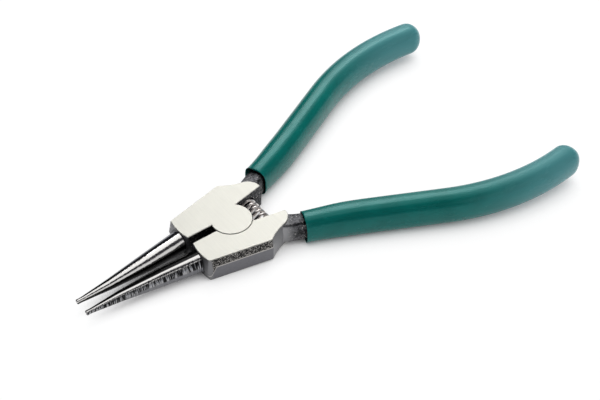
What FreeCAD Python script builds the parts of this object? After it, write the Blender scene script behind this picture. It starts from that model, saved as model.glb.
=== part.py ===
"""Retaining-ring pliers for shafts: straight round tips, half-lap riveted joint, coil return spring, sleeved handles.

Millimetres. The origin is where the pivot axis meets the ground underside of the head. X runs from the tips to the
handle ends, Y across the tool and Z up through the pivot. Lever A lies at +Y and carries the upper disc of the joint.
Lever B is the same forging turned half a turn about the X axis at mid-thickness.
"""
import FreeCAD, Part
import math
import os

Vector = FreeCAD.Vector

# Whole tool
overall_length = 181.6
tip_reach = 61.0
head_thickness = 9.6

# Head, seen from above; the sizes are of the half at +Y
head_front = 18.38
head_front_inner = 17.6
head_front_bow = 0.9
head_front_half_width = 12.47
shoulder_x = 5.4
shoulder_half_width = 17.3
scoop_middle = (9.7, 14.7)
scoop_end = (14.0, 13.2)
head_back_middle = (17.2, 10.6)
head_back_end = (17.6, 6.0)
forging_draft = 0.3
front_draft = 0.9
corner_round = 0.7
ground_edge_chamfer = 0.2
front_slot_width = 3.2
rear_gap_start = 4.02
rear_gap_slope = 0.2

# Half-lap joint
disc_radius = 7.4
recess_clearance = 0.1
lap_clearance = 0.05
rivet_radius = 2.6
rivet_head_radius = 3.5
rivet_head_depth = 1.2
rivet_clearance = 0.05

# Round tapered jaws: distance before the pivot, distance from the middle plane, radius
jaw_stations = (
    (15.0, 6.2, 4.2),
    (32.0, 4.5, 3.3),
    (48.0, 3.4, 1.93),
)
tip_radius = 0.9
tip_length = 1.8
tip_offset = 3.1
tip_chamfer = 0.15

# Return spring just behind the disc, with its axis along Y between two blind pockets
spring_seat = 8.0
spring_wire_radius = 0.5
spring_mean_radius = 2.5
spring_turns = 7
spring_disc_gap = 0.4
pocket_clearance = 0.3
seat_clearance = 0.03
spring_x = disc_radius + spring_disc_gap + spring_mean_radius + spring_wire_radius

# Handle centre line: a neck arc, a gentle outward arc, a straight run, and an arc that turns back in
mouth_x = 20.3
mouth_y = 14.7
mouth_heading = 20.0
neck_radius = 23.3
spread_radius = 196.0
spread_turn = 7.0
straight_run = 28.0
return_radius = 83.0

# Tang: forged bar from the head to its end inside the sleeve, seen at a distance from the sleeve's mouth
tang_root = -12.0
tang_root_half_width = 3.7
tang_neck_half_width = 3.1
tang_half_width = 3.5
tang_half_height = 4.4
tang_end_half_width = 2.7
tang_end_half_height = 2.9
tang_end_gap = 8.0
tang_taper_start = 45.0
tang_corner = 1.1
tang_bow = 0.2
neck_length = 9.0
neck_shift = -0.6

# Sleeve
sleeve_half_width = 5.3
sleeve_half_height = 6.25
sleeve_mouth_half_width = 4.75
sleeve_mouth_half_height = 5.75
sleeve_swell_length = 17.0
sleeve_end_half_height = 6.0
sleeve_end_length = 40.0
sleeve_corner = 3.4
sleeve_bow = 0.3
sleeve_dome = 5.2
sleeve_clearance = 0.15
mouth_flare = 0.75
mouth_flare_depth = 4.0

# Spacing of lofted sections, and working lengths that don't show
loft_step = 14.0
core_step = 11.0
neck_sections = 4
dome_sections = 5
cut_margin = 1.0
tolerance = 1e-6
middle_z = head_thickness / 2
spread_length = spread_radius * math.radians(spread_turn)
spread_heading = math.radians(mouth_heading + spread_turn)


def arc(start, middle, end):
    return Part.Arc(start, middle, end).toShape()


def turn(distance, radius, heading):
    """Offset along and across a right-hand arc after a signed distance, with the heading there."""
    new_heading = heading - distance / radius
    along = radius * (math.sin(heading) - math.sin(new_heading))
    across = radius * (math.cos(new_heading) - math.cos(heading))
    return along, across, new_heading


def spread_end():
    along, across, heading = turn(spread_length, -spread_radius, math.radians(mouth_heading))
    return mouth_x + along, mouth_y + across


def straight_end():
    x, y = spread_end()
    return x + straight_run * math.cos(spread_heading), y + straight_run * math.sin(spread_heading)


def sleeve_length():
    """Length of the centre line from the mouth until the handle ends at the overall length."""
    end_x = overall_length - tip_reach
    end_heading = math.asin(math.sin(spread_heading) - (end_x - straight_end()[0]) / return_radius)
    return spread_length + straight_run + return_radius * (spread_heading - end_heading)


def centre_line(distance):
    """Point and heading of the handle's centre line at a distance from the sleeve's mouth."""
    start_heading = math.radians(mouth_heading)
    if distance < 0:
        along, across, heading = turn(distance, neck_radius, start_heading)
        return mouth_x + along, mouth_y + across, heading
    if distance < spread_length:
        along, across, heading = turn(distance, -spread_radius, start_heading)
        return mouth_x + along, mouth_y + across, heading
    rest = distance - spread_length
    if rest < straight_run:
        x, y = spread_end()
        return x + rest * math.cos(spread_heading), y + rest * math.sin(spread_heading), spread_heading
    x, y = straight_end()
    along, across, heading = turn(rest - straight_run, return_radius, spread_heading)
    return x + along, y + across, heading


def oval_points(half_width, half_height, corner, bow):
    """Quarter of a rounded box with bowed sides: side joint, corner middle and top joint."""
    centre_u = half_width - bow - corner
    centre_w = half_height - bow - corner
    side_reach = half_width - centre_u
    top_reach = half_height - centre_w
    side_radius = (side_reach ** 2 + centre_w ** 2 - corner ** 2) / (2 * (side_reach - corner))
    top_radius = (top_reach ** 2 + centre_u ** 2 - corner ** 2) / (2 * (top_reach - corner))
    side_angle = math.atan2(centre_w, centre_u - (half_width - side_radius))
    top_angle = math.atan2(centre_w - (half_height - top_radius), centre_u)
    middle_angle = (side_angle + top_angle) / 2
    return [
        (centre_u + corner * math.cos(angle), centre_w + corner * math.sin(angle))
        for angle in (side_angle, middle_angle, top_angle)
    ]


def section(distance, half_width, half_height, shift, corner, bow):
    """Closed wire of eight arcs, square to the handle's centre line."""
    x, y, heading = centre_line(distance)

    def place(point):
        across = point[0] + shift
        return Vector(x - across * math.sin(heading), y + across * math.cos(heading), middle_z + point[1])

    quarter = oval_points(half_width, half_height, corner, bow)
    corners = []
    for sign_u, sign_w in ((1, 1), (-1, 1), (-1, -1), (1, -1)):
        trio = [(sign_u * u, sign_w * w) for u, w in quarter]
        if sign_u * sign_w < 0:
            trio.reverse()
        corners.append(trio)
    middles = ((0, half_height), (-half_width, 0), (0, -half_height), (half_width, 0))
    edges = []
    for index, (trio, middle) in enumerate(zip(corners, middles)):
        following = corners[(index + 1) % 4][0]
        edges.append(arc(place(trio[0]), place(trio[1]), place(trio[2])))
        edges.append(arc(place(trio[2]), place(middle), place(following)))
    return Part.Wire(edges)


def tang_length():
    """How far the bar runs into the sleeve."""
    return sleeve_length() - tang_end_gap


def eased(share):
    """Smooth step from nought to one."""
    share = min(max(share, 0.0), 1.0)
    return share * share * (3 - 2 * share)


def spaced(start, end, step):
    count = math.ceil((end - start) / step)
    return [start + (end - start) * index / count for index in range(count + 1)]


def tang_section(distance, growth):
    toward_head = eased(-distance / neck_length)
    into_sleeve = eased(distance / neck_length)
    taper = eased((distance - tang_taper_start) / (tang_length() - tang_taper_start))
    half_width = tang_neck_half_width + growth
    half_width += toward_head * (tang_root_half_width - tang_neck_half_width)
    half_width += into_sleeve * (tang_half_width - tang_neck_half_width)
    half_width += taper * (tang_end_half_width - tang_half_width)
    half_height = tang_half_height + growth + taper * (tang_end_half_height - tang_half_height)
    shift = neck_shift * (1 - into_sleeve)
    return section(distance, half_width, half_height, shift, tang_corner + growth, tang_bow)


def tang_neck():
    """Stretch of the forged bar that shows between the head and the sleeve."""
    distances = spaced(tang_root, mouth_flare_depth, (mouth_flare_depth - tang_root) / neck_sections)
    return Part.makeLoft([tang_section(distance, 0.0) for distance in distances], True, False)


def tang_core():
    """Stretch of the forged bar inside the sleeve."""
    distances = spaced(mouth_flare_depth, tang_length(), core_step)
    return Part.makeLoft([tang_section(distance, 0.0) for distance in distances], True, True)


def sleeve_bore():
    """Space in the sleeve: the bar's own shape with a clearance, flared at the mouth."""
    distances = spaced(mouth_flare_depth, tang_length(), core_step)
    distances[-1] += sleeve_clearance
    wires = [tang_section(-cut_margin, mouth_flare)]
    wires += [tang_section(distance, sleeve_clearance) for distance in distances]
    return Part.makeLoft(wires, True, True)


def head_outline(z, inset, front_inset):
    """Outline of the half head at one height, drawn in by the forging draft."""
    front_inner = Vector(front_inset - head_front_inner, 0, z)
    front_outer = Vector(front_inset - head_front, head_front_half_width - inset, z)
    front_middle = (front_inner + front_outer) * 0.5 - Vector(head_front_bow, 0, 0)
    shoulder = Vector(shoulder_x, shoulder_half_width - inset, z)
    scoop_mid = Vector(scoop_middle[0], scoop_middle[1] - inset, z)
    scoop_last = Vector(scoop_end[0], scoop_end[1] - inset, z)
    back_mid = Vector(head_back_middle[0] - inset, head_back_middle[1] - inset, z)
    back_last = Vector(head_back_end[0] - inset, head_back_end[1], z)
    return Part.Wire([
        arc(front_inner, front_middle, front_outer),
        Part.makeLine(front_outer, shoulder),
        arc(shoulder, scoop_mid, scoop_last),
        arc(scoop_last, back_mid, back_last),
        Part.makeLine(back_last, front_inner),
    ])


def head_blank():
    """Half head with draft above and below the flash line, and rounded outer corners."""
    halves = [
        Part.makeLoft([head_outline(middle_z, 0, 0), head_outline(z, forging_draft, front_draft)], True, True)
        for z in (0, head_thickness)
    ]
    blank = halves[0].fuse(halves[1]).removeSplitter()
    corners = [
        edge for edge in blank.Edges
        if abs(edge.tangentAt(edge.FirstParameter).z) > math.cos(math.radians(30))
        and edge.CenterOfMass.y > head_front_half_width / 2 and edge.CenterOfMass.x < shoulder_x + corner_round
    ]
    return blank.makeFillet(corner_round, corners)


def jaw():
    """Round tapered jaw with a short cylindrical tip that enters a retaining ring's hole."""
    rows = list(jaw_stations) + [(tip_reach - tip_length, tip_offset, tip_radius)]
    wires = []
    for distance, offset, radius in rows:
        ring = Part.makeCircle(radius, Vector(), Vector(1, 0, 0))
        ring.translate(Vector(-distance, offset, middle_z))
        wires.append(Part.Wire([ring]))
    cone = Part.makeLoft(wires, True, True)
    pin = Part.makeCylinder(tip_radius, tip_length, Vector(tip_length - tip_reach, tip_offset, middle_z),
                            Vector(-1, 0, 0))
    far_edges = [edge for edge in pin.Edges if edge.CenterOfMass.x < -tip_reach + tip_chamfer and edge.Closed]
    return cone.fuse(pin.makeChamfer(tip_chamfer, far_edges))


def prism(points, low, high):
    corners = [Vector(x, y, low) for x, y in points]
    return Part.Face(Part.makePolygon(corners + corners[:1])).extrude(Vector(0, 0, high - low))


def inner_side_cutter():
    """Space on the middle side of a half head: the front slot and the wider rear gap."""
    reach = overall_length
    under_disc = disc_radius / 2
    back_x = head_back_end[0] + cut_margin
    points = [
        (-reach, -reach),
        (-reach, front_slot_width / 2),
        (-under_disc, front_slot_width / 2),
        (under_disc, rear_gap_start + rear_gap_slope * under_disc),
        (back_x, rear_gap_start + rear_gap_slope * back_x),
        (back_x, -reach),
    ]
    return prism(points, -cut_margin, head_thickness + cut_margin)


def rivet(growth=0.0):
    """Round rivet with a countersunk head at each face, ground flush."""
    shank = Part.makeCylinder(rivet_radius + growth, head_thickness)
    lower = Part.makeCone(rivet_head_radius + growth, rivet_radius + growth, rivet_head_depth)
    upper = Part.makeCone(rivet_radius + growth, rivet_head_radius + growth, rivet_head_depth,
                          Vector(0, 0, head_thickness - rivet_head_depth))
    return shank.fuse([lower, upper]).removeSplitter()


def spring_pocket():
    radius = spring_mean_radius + spring_wire_radius + pocket_clearance
    return Part.makeCylinder(radius, spring_seat, Vector(spring_x, 0, middle_z), Vector(0, 1, 0))


def soften_ground_edges(body):
    """Narrow chamfer round both ground faces."""
    edges = []
    for face in body.Faces:
        box = face.BoundBox
        if box.ZLength < tolerance and min(abs(box.ZMin), abs(box.ZMax - head_thickness)) < tolerance:
            edges += face.OuterWire.Edges
    return body.makeChamfer(ground_edge_chamfer, edges)


def lever(rivet_hole):
    """One forging: jaw, half head with its lap disc and recess, spring pocket and tang, at +Y."""
    body = head_blank().fuse([tang_neck(), tang_core()]).cut(inner_side_cutter())
    disc_height = middle_z - lap_clearance / 2
    disc = Part.makeCylinder(disc_radius, disc_height, Vector(0, 0, head_thickness - disc_height))
    recess = Part.makeCylinder(disc_radius + recess_clearance, head_thickness - disc_height + cut_margin,
                               Vector(0, 0, -cut_margin))
    body = body.cut(recess).fuse(disc)
    body = body.cut(spring_pocket()).cut(rivet_hole).fuse(jaw()).removeSplitter()
    return soften_ground_edges(body)


def turned_over(shape):
    """The same piece for the other side, turned half a turn about the X axis at mid-thickness."""
    other = shape.copy()
    other.rotate(Vector(0, 0, middle_z), Vector(1, 0, 0), 180)
    return other


def sleeve_section(distance, scale):
    swell = eased(distance / sleeve_swell_length)
    thinning = eased((distance - sleeve_length() + sleeve_end_length) / sleeve_end_length)
    half_width = sleeve_mouth_half_width + swell * (sleeve_half_width - sleeve_mouth_half_width)
    half_height = sleeve_mouth_half_height + swell * (sleeve_half_height - sleeve_mouth_half_height)
    half_height += thinning * (sleeve_end_half_height - sleeve_half_height)
    return section(distance, scale * half_width, scale * half_height, 0.0, scale * sleeve_corner,
                   scale * sleeve_bow)


def sleeve():
    """Soft sleeve over the tang, with a flared mouth and a closed round end."""
    straight = sleeve_length() - sleeve_dome
    wires = [sleeve_section(distance, 1.0) for distance in spaced(0.0, straight, loft_step)]
    outside = Part.makeLoft(wires, True, False)
    angles = [math.radians(index * 84 / (dome_sections - 1)) for index in range(dome_sections)]
    dome = Part.makeLoft([
        sleeve_section(straight + sleeve_dome * math.sin(angle), math.cos(angle)) for angle in angles
    ], True, False)
    return outside.fuse(dome).cut(sleeve_bore())


def helix_point(angle):
    """Point and unit tangent on the spring's centre line, which climbs along +Y."""
    start_y = seat_clearance + spring_wire_radius - spring_seat
    climb = -start_y / (math.pi * spring_turns)
    point = Vector(
        spring_x + spring_mean_radius * math.cos(angle),
        start_y + climb * angle,
        middle_z - spring_mean_radius * math.sin(angle),
    )
    tangent = Vector(-spring_mean_radius * math.sin(angle), climb, -spring_mean_radius * math.cos(angle))
    return point, tangent.normalize()


def tangent_arc(start, corner, end):
    """Arc from start to end that is tangent to the lines to their shared corner."""
    chord_middle = (start + end) * 0.5
    half_chord = start.distanceToPoint(end) / 2
    slope = math.acos(half_chord / start.distanceToPoint(corner))
    toward = (corner - chord_middle).normalize()
    return arc(start, chord_middle + toward * (half_chord * math.tan(slope / 2)), end)


def biarc(start, start_tangent, end, end_tangent):
    """Two arcs that join two points with the given tangents."""
    span = end - start
    both = start_tangent + end_tangent
    spread = 2 * (1 - start_tangent.dot(end_tangent))
    reach = (math.sqrt(span.dot(both) ** 2 + spread * span.dot(span)) - span.dot(both)) / spread
    first_corner = start + start_tangent * reach
    second_corner = end - end_tangent * reach
    joint = (first_corner + second_corner) * 0.5
    return [tangent_arc(start, first_corner, joint), tangent_arc(joint, second_corner, end)]


def spring():
    """One unbroken round wire wound in open turns."""
    edges = []
    for half in range(2 * spring_turns):
        start, start_tangent = helix_point(half * math.pi)
        end, end_tangent = helix_point((half + 1) * math.pi)
        edges += biarc(start, start_tangent, end, end_tangent)
    path = Part.Wire(edges)
    start, start_tangent = helix_point(0)
    profile = Part.Wire([Part.makeCircle(spring_wire_radius, start, start_tangent)])
    return path.makePipeShell([profile], True, False)


def spring_gap():
    """Least gap between turns, measured on points more than half a turn apart along the wire."""
    steps = 48
    points = [helix_point(2 * math.pi * step / steps)[0] for step in range(steps * spring_turns + 1)]
    nearest = min(
        points[first].distanceToPoint(points[second])
        for first in range(len(points))
        for second in range(first + steps // 2, len(points))
    )
    return nearest - 2 * spring_wire_radius


os.makedirs("parts", exist_ok=True)
lever_a = lever(rivet())
lever_b = turned_over(lever(rivet(rivet_clearance)))
grip_a = sleeve()
nodes = {
    "lever_a": lever_a,
    "lever_b": lever_b,
    "pivot_rivet": rivet(),
    "return_spring": spring(),
    "grip_a": grip_a,
    "grip_b": turned_over(grip_a),
}
for name, shape in nodes.items():
    shape.exportStep(f"parts/{name}.step")
print(f"least gap between spring turns {spring_gap():.2f} mm")
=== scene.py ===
"""Looks of the retaining-ring pliers: forged and ground steel, wound spring, dipped sleeves and a plain studio.

Metres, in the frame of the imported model: X runs from the tips to the handle ends, Y across the tool and Z up through
the pivot. The floor is tilted a little, so that the head's front edge and both sleeves rest on it.
"""
import math

import bpy
from mathutils import Matrix, Vector


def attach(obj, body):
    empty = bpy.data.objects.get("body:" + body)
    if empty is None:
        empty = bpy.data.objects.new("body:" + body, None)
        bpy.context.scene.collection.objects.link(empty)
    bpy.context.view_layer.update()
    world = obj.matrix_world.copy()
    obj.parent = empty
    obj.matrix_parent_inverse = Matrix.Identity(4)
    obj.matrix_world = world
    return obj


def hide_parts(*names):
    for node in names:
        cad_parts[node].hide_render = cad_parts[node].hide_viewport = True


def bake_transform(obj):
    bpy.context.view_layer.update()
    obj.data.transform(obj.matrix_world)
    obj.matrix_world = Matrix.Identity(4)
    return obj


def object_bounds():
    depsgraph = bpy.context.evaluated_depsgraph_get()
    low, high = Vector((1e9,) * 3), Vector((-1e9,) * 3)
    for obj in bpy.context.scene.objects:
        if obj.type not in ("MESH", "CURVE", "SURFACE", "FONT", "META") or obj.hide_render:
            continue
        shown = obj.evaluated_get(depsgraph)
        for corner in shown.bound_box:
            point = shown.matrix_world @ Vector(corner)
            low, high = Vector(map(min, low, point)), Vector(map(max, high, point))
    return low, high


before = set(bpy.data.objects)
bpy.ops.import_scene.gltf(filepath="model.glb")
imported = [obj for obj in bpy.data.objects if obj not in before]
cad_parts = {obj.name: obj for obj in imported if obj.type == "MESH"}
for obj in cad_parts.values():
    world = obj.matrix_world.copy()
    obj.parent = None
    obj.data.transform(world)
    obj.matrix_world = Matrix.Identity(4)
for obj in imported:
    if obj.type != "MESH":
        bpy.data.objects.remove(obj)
cad_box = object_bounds()

bl_info = {
    "name": "Retaining Ring Pliers",
    "version": (1, 0, 0),
    "blender": (4, 5, 0),
    "location": "View3D > Sidebar > Pliers",
    "description": "Finishes the forgings, winds the return spring, dips the handle sleeves and sets the studio",
    "category": "Object",
}

mm = 0.001
middle_z = 4.8


def linear(code):
    """Linear colour of an sRGB hex value."""
    channels = [int(code[index:index + 2], 16) / 255 for index in (1, 3, 5)]
    return [value / 12.92 if value <= 0.04045 else ((value + 0.055) / 1.055) ** 2.4 for value in channels]


def colour(code, name, description):
    return bpy.props.FloatVectorProperty(
        name=name, description=description, default=linear(code), subtype="COLOR", size=3, min=0, max=1)


def length(value, name, description):
    return bpy.props.FloatProperty(
        name=name, description=description, default=value * mm, subtype="DISTANCE", unit="LENGTH", precision=5)


def angle(value, name, description):
    return bpy.props.FloatProperty(
        name=name, description=description, default=math.radians(value), subtype="ANGLE", unit="ROTATION")


class SteelColours(bpy.types.PropertyGroup):
    ground: colour("#D6D5CD", "Ground face", "Surface-ground steel of the head's top and underside")
    polished: colour("#E4E2DF", "Polished jaw", "Turned and polished steel of the round jaws")
    # Bright metal of the jaws, shown only along two strips where the highlights fall; between them the jaw is painted
    # shade
    scale_dark: colour("#232324", "Dark scale", "Black oxide left by forging")
    # Black scale on the upper half of the head's side, and painted shade on the jaws between their bright strips
    black_scale_and_shade: colour("#1D1D1D", "Blackest scale", "Scale in the hollows, where no light gets back out")
    scale_light: colour("#6E6E71", "Worn scale", "Oxide rubbed through to steel on high spots")
    trimmed: colour("#737377", "Trimmed side", "Smoother lower half of the forged side")
    front: colour("#7E7E80", "Front face", "Milled front of the head round the jaws")
    scooped: colour("#98989A", "Scoop", "Smooth hollow between the head and the neck")
    sparkle: colour("#C9C5C0", "Bare grains", "Bright grains of bare steel in the scale")
    wire: colour("#FAF3EF", "Spring wire", "Drawn spring steel, bright with a faint warm tone")


class SpringSizes(bpy.types.PropertyGroup):
    wire_radius: length(0.5, "Wire radius", "Half the thickness of the wire")
    coil_radius: length(2.5, "Coil radius", "From the spring's axis to the middle of the wire")
    half_length: length(7.47, "Half length", "From the middle plane to the middle of the wire at each end")
    axis_x: length(10.8, "Axis behind pivot", "Where the spring's axis lies behind the pivot")
    turns: bpy.props.FloatProperty(name="Turns", description="How often the wire goes round", default=7, min=1)


class SleeveSizes(bpy.types.PropertyGroup):
    colour: colour("#149086", "Vinyl", "Teal green of the dipped vinyl")
    # Painted reflection: paler, bluer vinyl toward the handle ends
    painted_end_reflection: colour("#6FBAC0", "Faded vinyl", "Paler and bluer vinyl toward the handle ends")
    half_width: length(5.3, "Half width", "Half the sleeve's width where the hand holds it")
    half_height: length(6.25, "Half height", "Half the sleeve's height where the hand holds it")
    mouth_half_width: length(4.75, "Mouth half width", "Half the width at the mouth")
    mouth_half_height: length(5.75, "Mouth half height", "Half the height at the mouth")
    end_half_height: length(6.0, "End half height", "Half the height before the round end")
    dome: length(5.2, "Round end", "How far the closed end runs out")
    lip: length(0.4, "Lip radius", "Rounding of the mouth's edge")
    squareness: bpy.props.FloatProperty(
        name="Squareness", description="Two gives an ellipse and more a rounded box", default=2.5, min=2, max=8)


class StudioSettings(bpy.types.PropertyGroup):
    azimuth: angle(-35.0226, "Azimuth", "Turn of the camera about the vertical")
    elevation: angle(44.2944, "Elevation", "Height of the camera above the horizon")
    roll: angle(-1.7662, "Roll", "Turn of the camera about its own axis")
    distance: length(548.072, "Distance", "From the camera to the point it looks at")
    lens: bpy.props.FloatProperty(
        name="Focal length", description="For a frame 36 mm wide", default=91.106, subtype="DISTANCE_CAMERA",
        unit="CAMERA")
    tilt: angle(1.52, "Floor tilt", "The tool rests on the head's front edge and on both sleeves")


def add(tree, kind, inputs=(), **settings):
    """Adds a node with its settings, and a value or a link for each input, in order or by name. Gives its outputs."""
    node = tree.nodes.new(kind)
    for name, value in settings.items():
        setattr(node, name, value)
    for key, value in inputs.items() if isinstance(inputs, dict) else enumerate(inputs):
        socket = node.inputs[key]
        if isinstance(value, bpy.types.NodeSocket):
            tree.links.new(value, socket)
        elif socket.type == "RGBA":
            socket.default_value = (*value[:3], 1)
        else:
            socket.default_value = value
    return node.outputs


def new_material(name):
    material = bpy.data.materials.new(name)
    material.use_nodes = True
    material.node_tree.nodes.clear()
    return material, material.node_tree


def place_in_mm(tree):
    """Object coordinates in millimetres."""
    place = add(tree, "ShaderNodeTexCoord")["Object"]
    return add(tree, "ShaderNodeVectorMath", {0: place, 3: 1 / mm}, operation="SCALE")[0]


def stretched_noise(tree, place, sizes, detail=3.0, rough=0.55):
    """Noise whose grains have the given size in millimetres along X, Y and Z."""
    fitted = add(tree, "ShaderNodeVectorMath", {0: place, 1: [1 / size for size in sizes]}, operation="MULTIPLY")[0]
    return add(tree, "ShaderNodeTexNoise", {"Vector": fitted, "Scale": 1.0, "Detail": detail, "Roughness": rough})[0]


def within(tree, *edges):
    """One inside all of the given soft edges and zero outside. Each is a value with where the edge starts and ends."""
    share = 1.0
    for edge in edges:
        step = add(tree, "ShaderNodeMapRange", edge, interpolation_type="SMOOTHSTEP")[0]
        share = add(tree, "ShaderNodeMath", (share, step), operation="MULTIPLY")[0]
    return share


def laid_over(tree, share, below, above):
    """One finish over another, each as its colour, roughness and relief in millimetres."""
    return (add(tree, "ShaderNodeMix", {0: share, 6: below[0], 7: above[0]}, data_type="RGBA")[2],
            add(tree, "ShaderNodeMix", {0: share, 2: below[1], 3: above[1]})[0],
            add(tree, "ShaderNodeMix", {0: share, 2: below[2], 3: above[2]})[0])


def finish_metal(tree, shade, roughness, relief):
    """Shader and output of a bare metal."""
    bump = add(tree, "ShaderNodeBump", {"Strength": 1.0, "Distance": mm, "Height": relief})[0]
    shader = add(
        tree, "ShaderNodeBsdfPrincipled",
        {"Base Color": shade, "Metallic": 1.0, "Roughness": roughness, "Normal": bump})[0]
    add(tree, "ShaderNodeOutputMaterial", {0: shader})


# Where the forging's finishes meet, in millimetres; a soft edge runs from the first value to the second
ground_depth = 0.21
side_start, side_end = (10.6, 11.6), (7.5, 6.0)
scoop_start, scoop_end, scoop_side = (5.2, 6.2), (17.0, 12.0), (7.5, 9.0)
front_edge, root_edge = (-16.2, -16.9), (5.0, 4.2)
flash_rise, flash_drop, flash_bend = 1.15, -2.6, (-15.0, -17.4)
jaw_front, jaw_radius, all_jaw = -17.0, 4.2, (-19.0, -19.2)

# Jaw axis: two straight stretches in plan, each with a point (X, Y) on it and its slope
root_point, root_slope = (-15.0, 6.2), 0.0848
tip_point, tip_slope = (-59.2, 3.1), 0.0254

# Bright strips, marked outer side and grey lower outer part of the jaw, by the angle outward round its axis from its
# lever's own upper side; the grey part fades out along X. The black between the strips is painted shade where dark
# reflections fall, the strips are bright metal where the highlights fall, and the grey part is a painted reflection of
# the floor.
upper_strip = (0.14, 0.24), (0.78, 0.66)
lower_strip = (-1.85, -2.0), (-3.14, -3.04)
marked_start, marked_end = (0.6, 0.75), 2.5
# Grey lower outer part of the jaw: a painted reflection of the floor, set by angle and faded out along X
floor_reflection_turn, floor_reflection_run = (1.38, 1.5), (-50.0, -38.0)


def ground_face(tree, colours, place):
    """Fine parallel lines from the grinding wheel, drawn ten times coarser than they are, or they wouldn't show."""
    lines = stretched_noise(tree, place, (0.22, 7.0, 7.0), 2.0)
    dim = add(tree, "ShaderNodeMapRange", (lines, 0.3, 0.7, 0.0, 0.04), interpolation_type="SMOOTHSTEP")[0]
    shade = add(tree, "ShaderNodeMix", {0: dim, 6: colours.ground, 7: colours.scale_light}, data_type="RGBA")[2]
    roughness = add(tree, "ShaderNodeMath", (lines, 0.06, 0.52), operation="MULTIPLY_ADD")[0]
    return shade, roughness, add(tree, "ShaderNodeMath", (lines, 0.002), operation="MULTIPLY")[0]


def forged_skin(tree, colours, place, x, side, own_rise, radius):
    """Dark forging scale with bright bare grains. The head's side is black and rough above the flash line and grey
    and smoother below it, and the scoops and the front are smooth too."""
    grains = stretched_noise(tree, place, (0.8, 0.8, 0.8), 4.0, 0.65)
    patches = stretched_noise(tree, place, (5.0, 5.0, 3.0), 2.0)
    uneven = add(tree, "ShaderNodeMath", (patches, 0.5, grains), operation="MULTIPLY_ADD")[0]
    worn = add(tree, "ShaderNodeMapRange", (uneven, 0.62, 0.98), interpolation_type="SMOOTHSTEP")[0]
    shade = add(tree, "ShaderNodeMix", {0: worn, 6: colours.scale_dark, 7: colours.scale_light}, data_type="RGBA")[2]

    # Bare grains: one in seven of the cells, which are half a millimetre across
    cells = add(tree, "ShaderNodeTexVoronoi", {"Vector": place, "Scale": 2.0})
    lot = add(tree, "ShaderNodeSeparateColor", {0: cells["Color"]})[0]
    drawn = add(tree, "ShaderNodeMath", (lot, 0.86), operation="GREATER_THAN")[0]
    core = add(tree, "ShaderNodeMapRange", (cells["Distance"], 0.42, 0.24), interpolation_type="SMOOTHSTEP")[0]
    bare = add(tree, "ShaderNodeMath", (drawn, core), operation="MULTIPLY")[0]

    # Side of the head, with the flash line's bright trimmed edge between its two halves
    on_side = within(tree, (side, *side_start), (x, *side_end))
    line = add(
        tree, "ShaderNodeMapRange", (x, *flash_bend, flash_rise, flash_drop), interpolation_type="SMOOTHSTEP")[0]
    level = add(tree, "ShaderNodeMath", (own_rise, line), operation="SUBTRACT")[0]
    off_line = add(tree, "ShaderNodeMath", (level,), operation="ABSOLUTE")[0]
    below = add(tree, "ShaderNodeMapRange", (level, 0.05, -0.05), interpolation_type="SMOOTHSTEP")[0]
    flash = within(tree, (off_line, 0.26, 0.12), (side, *side_start), (x, *side_end))
    faint = add(tree, "ShaderNodeMath", (worn, 0.35), operation="MULTIPLY")[0]
    lower = add(tree, "ShaderNodeMix", {0: faint, 6: colours.trimmed, 7: colours.scale_light}, data_type="RGBA")[2]
    fine = stretched_noise(tree, place, (0.38, 0.38, 0.38), 2.0, 0.5)
    glint = add(tree, "ShaderNodeMapRange", (fine, 0.5, 0.62, 0.0, 0.55), interpolation_type="SMOOTHSTEP")[0]
    upper = add(tree, "ShaderNodeMix", {0: glint, 6: colours.black_scale_and_shade, 7: colours.sparkle}, data_type="RGBA")[2]
    banded = add(tree, "ShaderNodeMix", {0: below, 6: upper, 7: lower}, data_type="RGBA")[2]

    # Smooth parts: scoops, front and lower half of the side, and a darker ring round the jaw's root
    scoop = within(tree, (x, *scoop_start), (x, *scoop_end), (side, *scoop_side))
    front = add(tree, "ShaderNodeMapRange", (x, *front_edge), interpolation_type="SMOOTHSTEP")[0]
    root = within(tree, (x, *front_edge), (radius, *root_edge))
    darker_root_ring = add(tree, "ShaderNodeMath", (root, 0.8), operation="MULTIPLY")[0]
    for share, above in ((on_side, banded), (scoop, colours.scooped), (front, colours.front),
                         (darker_root_ring, colours.scale_dark)):
        shade = add(tree, "ShaderNodeMix", {0: share, 6: shade, 7: above}, data_type="RGBA")[2]
    smooth = add(tree, "ShaderNodeMath", (below, on_side), operation="MULTIPLY")[0]
    for part in (front, scoop):
        smooth = add(tree, "ShaderNodeMath", (smooth, part), operation="MAXIMUM")[0]

    rugged = add(tree, "ShaderNodeMath", (1.0, smooth), operation="SUBTRACT")[0]
    sparkle = add(tree, "ShaderNodeMath", (bare, rugged), operation="MULTIPLY")[0]
    edge = add(tree, "ShaderNodeMath", (flash, 0.8), operation="MULTIPLY")[0]
    bright = add(tree, "ShaderNodeMath", (sparkle, edge), operation="MAXIMUM")[0]
    shade = add(tree, "ShaderNodeMix", {0: bright, 6: shade, 7: colours.sparkle}, data_type="RGBA")[2]
    roughness = add(tree, "ShaderNodeMath", (grains, 0.25, 0.36), operation="MULTIPLY_ADD")[0]
    pitted = add(tree, "ShaderNodeMath", (bare, -0.4, grains), operation="MULTIPLY_ADD")[0]
    depth = add(tree, "ShaderNodeMath", (smooth, -0.09, 0.11), operation="MULTIPLY_ADD")[0]
    return shade, roughness, add(tree, "ShaderNodeMath", (pitted, depth), operation="MULTIPLY")[0]


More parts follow.
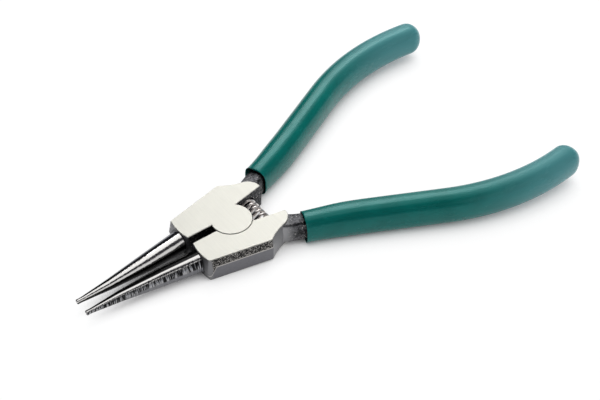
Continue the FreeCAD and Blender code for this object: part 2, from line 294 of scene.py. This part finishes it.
def round_jaw(tree, colours, x, around, from_middle):
    """Turned cone, coloured by the angle round its axis: black as painted shade where dark reflections fall, bright
    metal along two strips where the highlights fall, and grey low on the outer side near the root as a painted
    reflection of the floor. The turning marks run round it, drawn as coarse as the photo shows them, and are deepest on
    the outer side."""
    # Unrolled: millimetres along the jaw and radians round it
    unrolled = add(tree, "ShaderNodeCombineXYZ", {0: x, 1: around, 2: from_middle})[0]
    marks = stretched_noise(tree, unrolled, (0.36, 2.6, 6.0), 2.0, 0.5)
    ridges = add(tree, "ShaderNodeMapRange", (marks, 0.35, 0.65), interpolation_type="SMOOTHSTEP")[0]
    rubbed = add(tree, "ShaderNodeMapRange", (marks, 0.56, 0.4), interpolation_type="SMOOTHSTEP")[0]
    past_strip = add(tree, "ShaderNodeMapRange", (around, *marked_start), interpolation_type="SMOOTHSTEP")[0]
    before_bottom = add(tree, "ShaderNodeMath", (around, marked_end), operation="LESS_THAN")[0]
    outer = add(tree, "ShaderNodeMath", (past_strip, before_bottom), operation="MULTIPLY")[0]
    depth = add(tree, "ShaderNodeMath", (outer, 0.94, 0.06), operation="MULTIPLY_ADD")[0]
    dents = add(tree, "ShaderNodeMath", (ridges, depth), operation="MULTIPLY")[0]

    rubbed_outer = add(tree, "ShaderNodeMath", (rubbed, outer), operation="MULTIPLY")[0]
    # Painted reflection of the floor: grey on the lower outer side near the root
    plain = within(tree, (around, *floor_reflection_turn), (x, *floor_reflection_run))
    # Bright metal only along two strips where the highlights fall; the black base round them is painted shade
    strips = [within(tree, (around, *first), (around, *last)) for first, last in (upper_strip, lower_strip)]
    polished = add(tree, "ShaderNodeMath", strips, operation="MAXIMUM")[0]
    shade = colours.black_scale_and_shade
    for share, above in ((rubbed_outer, colours.scooped), (plain, colours.trimmed), (polished, colours.polished)):
        shade = add(tree, "ShaderNodeMix", {0: share, 6: shade, 7: above}, data_type="RGBA")[2]
    roughness = add(tree, "ShaderNodeMath", (dents, 0.25, 0.17), operation="MULTIPLY_ADD")[0]
    return shade, roughness, add(tree, "ShaderNodeMath", (dents, -0.08), operation="MULTIPLY")[0]


def forged_steel(colours):
    """Drop-forged chrome-vanadium steel. The head's faces are surface ground to a satin near-white, the jaws turned
    and polished, and the rest keeps dark forging scale."""
    material, tree = new_material("Forged_chrome_vanadium_steel")
    place = place_in_mm(tree)
    x, y, z = add(tree, "ShaderNodeSeparateXYZ", (place,))
    side = add(tree, "ShaderNodeMath", (y,), operation="ABSOLUTE")[0]
    rise = add(tree, "ShaderNodeMath", (z, middle_z), operation="SUBTRACT")[0]
    from_middle = add(tree, "ShaderNodeMath", (rise,), operation="ABSOLUTE")[0]

    # Lever B is lever A turned over, so a height on its own side changes sign with Y
    other_way = add(tree, "ShaderNodeMath", (y, -1.0), operation="MULTIPLY")[0]
    own_side = add(tree, "ShaderNodeMath", (other_way,), operation="SIGN")[0]
    own_rise = add(tree, "ShaderNodeMath", (rise, own_side), operation="MULTIPLY")[0]

    stretches = [
        add(tree, "ShaderNodeMath", (x, slope, point[1] - point[0] * slope), operation="MULTIPLY_ADD")[0]
        for point, slope in ((root_point, root_slope), (tip_point, tip_slope))]
    axis = add(tree, "ShaderNodeMath", stretches, operation="MAXIMUM")[0]
    from_axis = add(tree, "ShaderNodeMath", (side, axis), operation="SUBTRACT")[0]
    around = add(tree, "ShaderNodeMath", (from_axis, own_rise), operation="ARCTAN2")[0]
    offset = add(tree, "ShaderNodeCombineXYZ", (from_axis, rise, 0.0))[0]
    radius = add(tree, "ShaderNodeVectorMath", (offset,), operation="LENGTH")["Value"]

    ahead = add(tree, "ShaderNodeMath", (x, jaw_front), operation="LESS_THAN")[0]
    inside = add(tree, "ShaderNodeMath", (radius, jaw_radius), operation="LESS_THAN")[0]
    at_root = add(tree, "ShaderNodeMath", (ahead, inside), operation="MULTIPLY")[0]
    clear = add(tree, "ShaderNodeMapRange", (x, *all_jaw), interpolation_type="SMOOTHSTEP")[0]
    on_jaw = add(tree, "ShaderNodeMath", (at_root, clear), operation="MAXIMUM")[0]
    on_ground = add(tree, "ShaderNodeMath", (from_middle, middle_z - ground_depth), operation="GREATER_THAN")[0]

    finish = forged_skin(tree, colours, place, x, side, own_rise, radius)
    finish = laid_over(tree, on_jaw, finish, round_jaw(tree, colours, x, around, from_middle))
    finish = laid_over(tree, on_ground, finish, ground_face(tree, colours, place))
    finish_metal(tree, *finish)
    return material


def rivet_steel(colours):
    """Cold-headed rivet, ground flush with the head, so its ends match the ground faces round them."""
    material, tree = new_material("Ground_rivet_steel")
    finish_metal(tree, *ground_face(tree, colours, place_in_mm(tree)))
    return material


def spring_wire(colours):
    """Drawn spring wire: bright and smooth, with faint drawing lines and a little warmth."""
    material, tree = new_material("Drawn_spring_steel")
    lines = stretched_noise(tree, place_in_mm(tree), (0.3, 0.3, 0.3), 3.0)
    dim = add(tree, "ShaderNodeMapRange", (lines, 0.35, 0.75, 0.0, 0.3), interpolation_type="SMOOTHSTEP")[0]
    shade = add(tree, "ShaderNodeMix", {0: dim, 6: colours.wire, 7: colours.trimmed}, data_type="RGBA")[2]
    roughness = add(tree, "ShaderNodeMath", (lines, 0.14, 0.24), operation="MULTIPLY_ADD")[0]
    finish_metal(tree, shade, roughness, add(tree, "ShaderNodeMath", (lines, 0.004), operation="MULTIPLY")[0])
    return material


def dipped_vinyl(sleeve):
    """Soft PVC dipped over the handles: a glossy teal, with the slight waves of a cured coat and faint rubs, and a
    painted reflection that makes it paler and bluer toward the handle ends.
    """
    material, tree = new_material("Dipped_vinyl")
    place = place_in_mm(tree)
    x = add(tree, "ShaderNodeSeparateXYZ", (place,))["X"]
    waves = stretched_noise(tree, place, (9.0, 9.0, 6.0), 1.5)
    pores = stretched_noise(tree, place, (0.5, 0.5, 0.5), 2.0)
    rubs = stretched_noise(tree, place, (14.0, 5.0, 5.0), 4.0, 0.6)
    deep = [value * 0.85 for value in sleeve.colour]
    crest = add(tree, "ShaderNodeMapRange", (waves, 0.3, 0.75), interpolation_type="SMOOTHSTEP")[0]
    # Painted reflection: the vinyl turns paler and bluer toward the handle ends
    end_reflection_share = add(tree, "ShaderNodeMapRange", (x, 60.0, 115.0, 0.0, 0.8), interpolation_type="SMOOTHSTEP")[0]
    rubbed = add(tree, "ShaderNodeMapRange", (rubs, 0.45, 0.75), interpolation_type="SMOOTHSTEP")[0]
    shade = add(tree, "ShaderNodeMix", {0: crest, 6: deep, 7: sleeve.colour}, data_type="RGBA")[2]
    shade = add(tree, "ShaderNodeMix", {0: end_reflection_share, 6: shade, 7: sleeve.painted_end_reflection}, data_type="RGBA")[2]
    roughness = add(tree, "ShaderNodeMath", (rubbed, 0.08, 0.24), operation="MULTIPLY_ADD")[0]
    pitting = add(tree, "ShaderNodeMath", (pores, 0.004), operation="MULTIPLY")[0]
    relief = add(tree, "ShaderNodeMath", (waves, 0.12, pitting), operation="MULTIPLY_ADD")[0]
    bump = add(tree, "ShaderNodeBump", {"Strength": 1.0, "Distance": mm, "Height": relief})[0]
    shader = add(
        tree, "ShaderNodeBsdfPrincipled",
        {"Base Color": shade, "Roughness": roughness, "IOR": 1.5, "Normal": bump, "Specular IOR Level": 0.5,
         "Specular Tint": linear("#9BE3E2")})[0]
    add(tree, "ShaderNodeOutputMaterial", {0: shader})
    return material


def coil_tree(material):
    """Node group that winds one unbroken wire along Y."""
    tree = bpy.data.node_groups.new("Return spring", "GeometryNodeTree")
    face = tree.interface
    face.new_socket("Geometry", in_out="OUTPUT", socket_type="NodeSocketGeometry")
    for name, kind in (("Wire radius", "Float"), ("Coil radius", "Float"), ("Length", "Float"), ("Turns", "Float"),
                       ("Start", "Vector")):
        face.new_socket(name, in_out="INPUT", socket_type=f"NodeSocket{kind}")
    given = add(tree, "NodeGroupInput")
    helix = add(
        tree, "GeometryNodeCurveSpiral",
        {"Resolution": 48, "Rotations": given["Turns"], "Start Radius": given["Coil radius"],
         "End Radius": given["Coil radius"], "Height": given["Length"]})[0]
    laid = add(
        tree, "GeometryNodeTransform",
        {"Geometry": helix, "Translation": given["Start"], "Rotation": (-math.pi / 2, 0, 0)})[0]
    section = add(tree, "GeometryNodeCurvePrimitiveCircle", {"Resolution": 24, "Radius": given["Wire radius"]})
    wire = add(tree, "GeometryNodeCurveToMesh", {"Curve": laid, "Profile Curve": section[0], "Fill Caps": True})[0]
    smooth = add(tree, "GeometryNodeSetShadeSmooth", {"Geometry": wire})[0]
    whole = add(tree, "GeometryNodeRealizeInstances", {0: smooth})[0]
    done = add(tree, "GeometryNodeSetMaterial", {"Geometry": whole, "Material": material})[0]
    add(tree, "NodeGroupOutput", {0: done})
    return tree


def wound_spring(sizes, material):
    """Return spring as a plain mesh."""
    tree = coil_tree(material)
    maker = bpy.data.objects.new("spring_maker", bpy.data.meshes.new("spring_maker"))
    bpy.context.collection.objects.link(maker)
    modifier = maker.modifiers.new("Coil", "NODES")
    modifier.node_group = tree
    values = {
        "Wire radius": sizes.wire_radius, "Coil radius": sizes.coil_radius, "Length": 2 * sizes.half_length,
        "Turns": sizes.turns, "Start": (sizes.axis_x, -sizes.half_length, middle_z * mm)}
    for item in tree.interface.items_tree:
        if item.in_out == "INPUT":
            modifier[item.identifier] = values[item.name]
    bpy.context.view_layer.update()
    graph = bpy.context.evaluated_depsgraph_get()
    mesh = bpy.data.meshes.new_from_object(maker.evaluated_get(graph))
    bpy.data.objects.remove(maker)
    return mesh


# Handle centre line, as the forging has it, in millimetres: an arc of the neck before the sleeve's mouth, and behind
# it an arc that spreads, a straight run and an arc that returns
mouth = (20.3, 14.7)
mouth_heading = math.radians(20)
spread_heading = math.radians(27)
spread_radius = 196.0
straight_run = 28.0
return_radius = 83.0
neck_radius = 23.3
handle_end_x = cad_box[1].x / mm

# Handle bar inside the sleeve: half width and half height at the mouth and at its end, and the play round it, which
# widens at the mouth
bar_start = (3.5, 4.4)
bar_stop = (2.7, 2.9)
bar_taper_start = 45.0
bar_to_sleeve_end = 8.0
bar_play, mouth_play, mouth_play_start, mouth_play_run = 0.2, 0.75, -1.0, 5.0
bore_squareness, lip_squareness = 8.0, 5.0

# Runs over which the sleeve swells behind its mouth and thins before its end
swell_run = 17.0
thinning_run = 40.0


def turned(x, y, distance, radius, heading):
    """Point and heading after a distance along an arc; a negative radius turns outwards."""
    new = heading - distance / radius
    return (x + radius * (math.sin(heading) - math.sin(new)), y + radius * (math.cos(new) - math.cos(heading)), new)


spread_length = spread_radius * (spread_heading - mouth_heading)
spread_x, spread_y, _ = turned(*mouth, spread_length, -spread_radius, mouth_heading)
straight_x = spread_x + straight_run * math.cos(spread_heading)
straight_y = spread_y + straight_run * math.sin(spread_heading)
end_heading = math.asin(math.sin(spread_heading) - (handle_end_x - straight_x) / return_radius)
sleeve_length = spread_length + straight_run + return_radius * (spread_heading - end_heading)


def on_centre_line(distance):
    if distance < 0:
        return turned(*mouth, distance, neck_radius, mouth_heading)
    if distance < spread_length:
        return turned(*mouth, distance, -spread_radius, mouth_heading)
    rest = distance - spread_length
    if rest < straight_run:
        return (spread_x + rest * math.cos(spread_heading), spread_y + rest * math.sin(spread_heading),
                spread_heading)
    return turned(straight_x, straight_y, rest - straight_run, return_radius, spread_heading)


def eased(share):
    share = min(max(share, 0.0), 1.0)
    return share * share * (3 - 2 * share)


def between(first, second, share):
    return first + (second - first) * share


def ring(distance, half_width, half_height, squareness, count):
    """Points of one rounded-box section, square to the handle's centre line."""
    x, y, heading = on_centre_line(distance)
    points = []
    for step in range(count):
        turn = 2 * math.pi * step / count
        across = math.copysign(abs(math.cos(turn)) ** (2 / squareness), math.cos(turn)) * half_width
        up = math.copysign(abs(math.sin(turn)) ** (2 / squareness), math.sin(turn)) * half_height
        points.append((x - across * math.sin(heading), y + across * math.cos(heading), middle_z + up))
    return points


def sleeve_rows(sizes):
    """Sections from the bottom of the bore, out over the lip and along the outside to the round end."""
    bar_end = sleeve_length - bar_to_sleeve_end
    bore_steps, lip_steps, outside_steps, dome_steps = 14, 8, 64, 14

    def outside(distance):
        swell = eased(distance / swell_run)
        thinning = eased((distance - sleeve_length + thinning_run) / thinning_run)
        width = between(sizes.mouth_half_width, sizes.half_width, swell) / mm
        height = between(sizes.mouth_half_height, sizes.half_height, swell) / mm
        return width, height - thinning * (sizes.half_height - sizes.end_half_height) / mm

    def bore(distance):
        taper = eased((distance - bar_taper_start) / (bar_end - bar_taper_start))
        inward = min(max((distance - mouth_play_start) / mouth_play_run, 0), 1)
        play = between(mouth_play, bar_play, inward)
        return [between(first, last, taper) + play for first, last in zip(bar_start, bar_stop)]

    deepest = [bar_end + 0.3] + [bar_end * (1 - step / bore_steps) for step in range(1, bore_steps - 1)]
    rows = [(distance, *bore(distance), bore_squareness) for distance in (*deepest, 4, 2)]
    lip = sizes.lip / mm
    inner, outer = bore(lip), outside(lip)
    for step in range(lip_steps + 1):
        turn = math.pi * step / lip_steps
        share = (1 - math.cos(turn)) / 2
        rows.append((lip * (1 - math.sin(turn)), between(inner[0], outer[0], share), between(inner[1], outer[1], share),
                     between(lip_squareness, sizes.squareness, share)))
    dome = sizes.dome / mm
    straight = sleeve_length - dome
    for step in range(1, outside_steps + 1):
        distance = between(lip, straight, step / outside_steps)
        rows.append((distance, *outside(distance), sizes.squareness))
    width, height = outside(straight)
    for step in range(1, dome_steps):
        turn = math.pi / 2 * step / dome_steps
        narrowing = math.cos(turn) ** 0.9
        rows.append((straight + dome * math.sin(turn), width * narrowing, height * narrowing,
                     between(sizes.squareness, 2, step / dome_steps)))
    return rows


def dipped_sleeve(sizes, turned_over, material):
    """Closed mesh of one sleeve, turned about the X axis at mid-thickness for the other handle."""
    count = 72  # points round each section
    rows = sleeve_rows(sizes)
    points = [point for row in rows for point in ring(*row, count)]
    first, last = len(points), len(points) + 1
    points.append((*on_centre_line(rows[0][0])[:2], middle_z))
    points.append((*on_centre_line(sleeve_length)[:2], middle_z))
    faces = []
    for row in range(len(rows) - 1):
        for step in range(count):
            after = (step + 1) % count
            low, high = row * count, (row + 1) * count
            faces.append((low + step, low + after, high + after, high + step))
    top = (len(rows) - 1) * count
    for step in range(count):
        after = (step + 1) % count
        faces.append((first, after, step))
        faces.append((last, top + step, top + after))
    if turned_over:
        points = [(x, -y, 2 * middle_z - z) for x, y, z in points]
    mesh = bpy.data.meshes.new("sleeve")
    mesh.from_pydata([Vector(point) * mm for point in points], [], faces)
    mesh.materials.append(material)
    mesh.shade_smooth()
    mesh.validate()
    return mesh


def new_piece(name, mesh):
    piece = bpy.data.objects.new(name, mesh)
    bpy.context.collection.objects.link(piece)
    return piece


def give(piece, material):
    """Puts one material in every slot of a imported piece."""
    for slot in piece.material_slots:
        slot.material = material


class PLIERS_OT_finish_forgings(bpy.types.Operator):
    """Gives both levers their ground, polished and forged surfaces, and the rivet its ground ends"""
    bl_idname = "pliers.finish_forgings"
    bl_label = "Finish forgings"

    def execute(self, context):
        colours = context.scene.pliers_steel
        steel = forged_steel(colours)
        for name in ("lever_a", "lever_b"):
            give(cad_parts[name], steel)
        give(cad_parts["pivot_rivet"], rivet_steel(colours))
        return {"FINISHED"}


class PLIERS_OT_wind_spring(bpy.types.Operator):
    """Winds the return spring between the two levers"""
    bl_idname = "pliers.wind_spring"
    bl_label = "Wind spring"

    def execute(self, context):
        sizes = context.scene.pliers_spring
        spring = new_piece("wound_spring", wound_spring(sizes, spring_wire(context.scene.pliers_steel)))
        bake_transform(spring)
        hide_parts("return_spring")
        return {"FINISHED"}


class PLIERS_OT_dip_sleeves(bpy.types.Operator):
    """Makes the two vinyl sleeves over the handles"""
    bl_idname = "pliers.dip_sleeves"
    bl_label = "Dip sleeves"

    def execute(self, context):
        sizes = context.scene.pliers_sleeve
        vinyl = dipped_vinyl(sizes)
        for letter, turned_over in (("a", False), ("b", True)):
            sleeve = new_piece(f"dipped_sleeve_{letter}", dipped_sleeve(sizes, turned_over, vinyl))
            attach(sleeve, f"lever_{letter}_side")
            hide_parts(f"grip_{letter}")
        return {"FINISHED"}


def floor_paint():
    """Matt white laminate: an even pale sheet that takes soft shadows from the lamps, with a painted contact shadow
    round the tool where its glow is dimmed by ambient occlusion.
    """
    material, tree = new_material("Matt_white_laminate")
    clouds = stretched_noise(tree, place_in_mm(tree), (60.0, 60.0, 60.0), 2.0)
    shade = add(tree, "ShaderNodeMix", {0: clouds, 6: linear("#F0F0F3"), 7: linear("#F4F4F6")}, data_type="RGBA")[2]
    shader = add(
        tree, "ShaderNodeBsdfPrincipled", {"Base Color": shade, "Roughness": 0.75, "Specular IOR Level": 0.2})[0]

    # Overexposed white that glows to what looks at it but lights nothing, dimmed near the tool by ambient occlusion: a
    # painted contact shadow
    path = add(tree, "ShaderNodeLightPath")
    mirrored = add(
        tree, "ShaderNodeMath", (path["Is Glossy Ray"], path["Is Transmission Ray"]), operation="MAXIMUM")[0]
    seen = add(tree, "ShaderNodeMath", (path["Is Camera Ray"], mirrored), operation="MAXIMUM")[0]
    openness = add(tree, "ShaderNodeAmbientOcclusion", {"Distance": 11 * mm}, samples=8)["AO"]
    outside_painted_shadow = add(tree, "ShaderNodeMapRange", (openness, 0.0, 0.85), interpolation_type="SMOOTHSTEP")[0]
    glow_share = add(tree, "ShaderNodeMath", (seen, 0.78), operation="MULTIPLY")[0]
    share = add(tree, "ShaderNodeMath", (glow_share, outside_painted_shadow), operation="MULTIPLY")[0]
    white = add(tree, "ShaderNodeEmission", {0: (1, 1, 1), 1: 1.2})[0]
    both = add(tree, "ShaderNodeMixShader", {0: share, 1: shader, 2: white})[0]
    add(tree, "ShaderNodeOutputMaterial", {0: both})
    return material


def soft_lamp(name, place, target, width, height, watts):
    data = bpy.data.lights.new(name, "AREA")
    data.shape = "RECTANGLE"
    data.size, data.size_y = width, height
    data.energy = watts
    lamp = bpy.data.objects.new(name, data)
    lamp.location = place
    lamp.rotation_euler = (Vector(target) - Vector(place)).to_track_quat("-Z", "Y").to_euler()
    bpy.context.collection.objects.link(lamp)


class PLIERS_OT_set_studio(bpy.types.Operator):
    """Lays the pale floor under the tool, hangs the soft lamps and sets the camera"""
    bl_idname = "pliers.set_studio"
    bl_label = "Set studio"

    def execute(self, context):
        studio = context.scene.pliers_studio
        rest_x = -18.0 * mm  # front edge of the head's underside, on which the tool rests
        reach = 4.0
        slope = math.tan(studio.tilt)
        corners = [(x, y, -(x - rest_x) * slope) for x, y in
                   ((-reach, -reach), (reach, -reach), (reach, reach), (-reach, reach))]
        mesh = bpy.data.meshes.new("floor")
        mesh.from_pydata(corners, [], [(0, 1, 2, 3)])
        mesh.materials.append(floor_paint())
        floor = new_piece("floor", mesh)

        centre = (0.03, 0.0, 0.0)
        soft_lamp("overhead_softbox", (0.42, 0.36, 0.80), centre, 0.65, 1.9, 4.4)
        soft_lamp("key_softbox", (0.42, 0.52, 0.71), centre, 0.38, 0.38, 2.1)
        soft_lamp("front_card", (0.42, -0.84, 0.38), centre, 1.0, 0.78, 1.9)

        world = bpy.data.worlds.new("Plain studio")
        world.use_nodes = True
        tree = world.node_tree
        tree.nodes.clear()
        direction = add(tree, "ShaderNodeTexCoord")["Generated"]
        up = add(tree, "ShaderNodeSeparateXYZ", (direction,))["Z"]
        share = add(tree, "ShaderNodeMapRange", (up, 0.0, 0.14), interpolation_type="SMOOTHSTEP")[0]
        room = add(tree, "ShaderNodeMix", {0: share, 6: linear("#D3DEF2"), 7: linear("#2C2C31")}, data_type="RGBA")[2]
        light = add(tree, "ShaderNodeBackground", {0: room, 1: 1.0})[0]
        add(tree, "ShaderNodeOutputWorld", {0: light})
        context.scene.world = world
        context.scene.view_settings.view_transform = "Standard"

        turn, lift, roll = studio.azimuth, studio.elevation, studio.roll
        back = Vector((math.sin(turn) * math.cos(lift), -math.cos(turn) * math.cos(lift), math.sin(lift)))
        right = Vector((math.cos(turn), math.sin(turn), 0))
        up_way = back.cross(right)
        right, up_way = (right * math.cos(roll) + up_way * math.sin(roll),
                         up_way * math.cos(roll) - right * math.sin(roll))
        data = bpy.data.cameras.new("Camera")
        data.sensor_fit, data.sensor_width, data.lens = "HORIZONTAL", 36.0, studio.lens
        data.clip_start, data.clip_end = 0.01, 20
        camera = bpy.data.objects.new("Camera", data)
        aim = Vector((30.107, 1.048, 0)) * mm
        camera.matrix_world = Matrix.Translation(aim + back * studio.distance) @ Matrix(
            (right, up_way, back)).transposed().to_4x4()
        bpy.context.collection.objects.link(camera)
        context.scene.camera = camera
        return {"FINISHED"}


class PLIERS_PT_panel(bpy.types.Panel):
    """Steps of the pliers' making, with the sizes and colours to change first"""
    bl_label = "Retaining Ring Pliers"
    bl_idname = "PLIERS_PT_panel"
    bl_space_type = "VIEW_3D"
    bl_region_type = "UI"
    bl_category = "Pliers"

    def draw(self, context):
        for group, steps in (("pliers_steel", ("finish_forgings",)), ("pliers_spring", ("wind_spring",)),
                             ("pliers_sleeve", ("dip_sleeves",)), ("pliers_studio", ("set_studio",))):
            box = self.layout.box()
            settings = getattr(context.scene, group)
            for name in settings.bl_rna.properties.keys():
                if name not in ("rna_type", "name"):
                    box.prop(settings, name)
            for step in steps:
                box.operator(f"pliers.{step}")


groups = {
    "pliers_steel": SteelColours,
    "pliers_spring": SpringSizes,
    "pliers_sleeve": SleeveSizes,
    "pliers_studio": StudioSettings,
}
tools = (PLIERS_OT_finish_forgings, PLIERS_OT_wind_spring, PLIERS_OT_dip_sleeves, PLIERS_OT_set_studio,
         PLIERS_PT_panel)


def register():
    for name, group in groups.items():
        bpy.utils.register_class(group)
        setattr(bpy.types.Scene, name, bpy.props.PointerProperty(type=group))
    for tool in tools:
        bpy.utils.register_class(tool)


def unregister():
    for tool in reversed(tools):
        bpy.utils.unregister_class(tool)
    for name, group in groups.items():
        delattr(bpy.types.Scene, name)
        bpy.utils.unregister_class(group)


def main():
    """Registers the tools and makes every piece in turn."""
    register()
    bpy.ops.pliers.finish_forgings()
    bpy.ops.pliers.wind_spring()
    bpy.ops.pliers.dip_sleeves()
    bpy.ops.pliers.set_studio()


if __name__ == "__main__":
    main()
